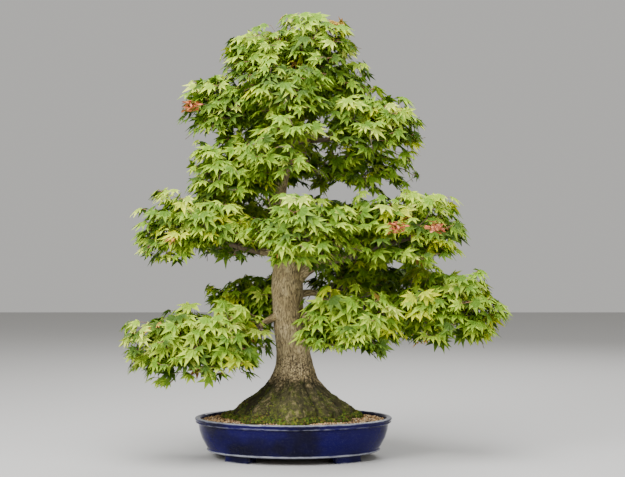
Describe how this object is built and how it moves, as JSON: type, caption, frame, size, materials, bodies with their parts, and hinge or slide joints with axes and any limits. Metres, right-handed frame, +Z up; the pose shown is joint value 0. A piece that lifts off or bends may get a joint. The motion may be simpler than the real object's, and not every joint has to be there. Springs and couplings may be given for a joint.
{
  "type": "bonsai japanese maple in a glazed pot",
  "caption": "Bonsai japanese maple with a flared trunk, tapering boughs and layered palmate foliage, planted in an oval blue glazed pot on low feet.",
  "frame": {"origin": "middle of the plant's box, at the plane the pot's feet stand on", "axes": "+Z up along the trunk, +X to the right along the pot's long side, -Y towards the viewer of the picture"},
  "size_m": [0.8626, 0.5366, 1.0065],
  "materials": {
    "glaze": "glossy cobalt blue glaze, thin and pale on the edges",
    "soil": "loose matt clay granules",
    "moss": "soft matt cushion moss",
    "bark": "dry grey-tan bark with fine fissures",
    "leaves": "satin fresh green palmate leaves"
  },
  "bodies": {
    "root": {"pot": "glaze", "pot_foot_front_left": "glaze", "pot_foot_back_left": "glaze", "pot_foot_front_right": "glaze", "pot_foot_back_right": "glaze", "soil": "soil", "trunk": "bark", "moss": "moss", "bough_low_left": "bark", "bough_low_right_inner": "bark", "bough_low_right_outer": "bark", "bough_low_back_left": "bark", "bough_low_back_right": "bark", "bough_mid_left": "bark", "bough_mid_front": "bark", "bough_mid_right": "bark", "bough_mid_back_left": "bark", "bough_mid_back_right": "bark", "bough_upper_left": "bark", "bough_upper_front": "bark", "bough_upper_right": "bark", "bough_upper_right_back": "bark", "bough_upper_back": "bark", "bough_shoulder_left": "bark", "bough_shoulder_right": "bark", "bough_shoulder_back": "bark", "bough_head_front": "bark", "bough_apex_left": "bark", "bough_apex_right": "bark", "bough_apex_back": "bark", "foliage_low_left": "leaves", "foliage_low_right_inner": "leaves", "foliage_low_right_outer": "leaves", "foliage_low_back_left": "leaves", "foliage_low_back_right": "leaves", "foliage_mid_left": "leaves", "foliage_mid_front": "leaves", "foliage_mid_right": "leaves", "foliage_mid_back_left": "leaves", "foliage_mid_back_right": "leaves", "foliage_upper_left": "leaves", "foliage_upper_front": "leaves", "foliage_upper_right": "leaves", "foliage_upper_right_back": "leaves", "foliage_upper_back": "leaves", "foliage_shoulder_left": "leaves", "foliage_shoulder_right": "leaves", "foliage_shoulder_back": "leaves", "foliage_head_front": "leaves", "foliage_apex_left": "leaves", "foliage_apex_right": "leaves", "foliage_apex_back": "leaves"}
  },
  "joints": []
}
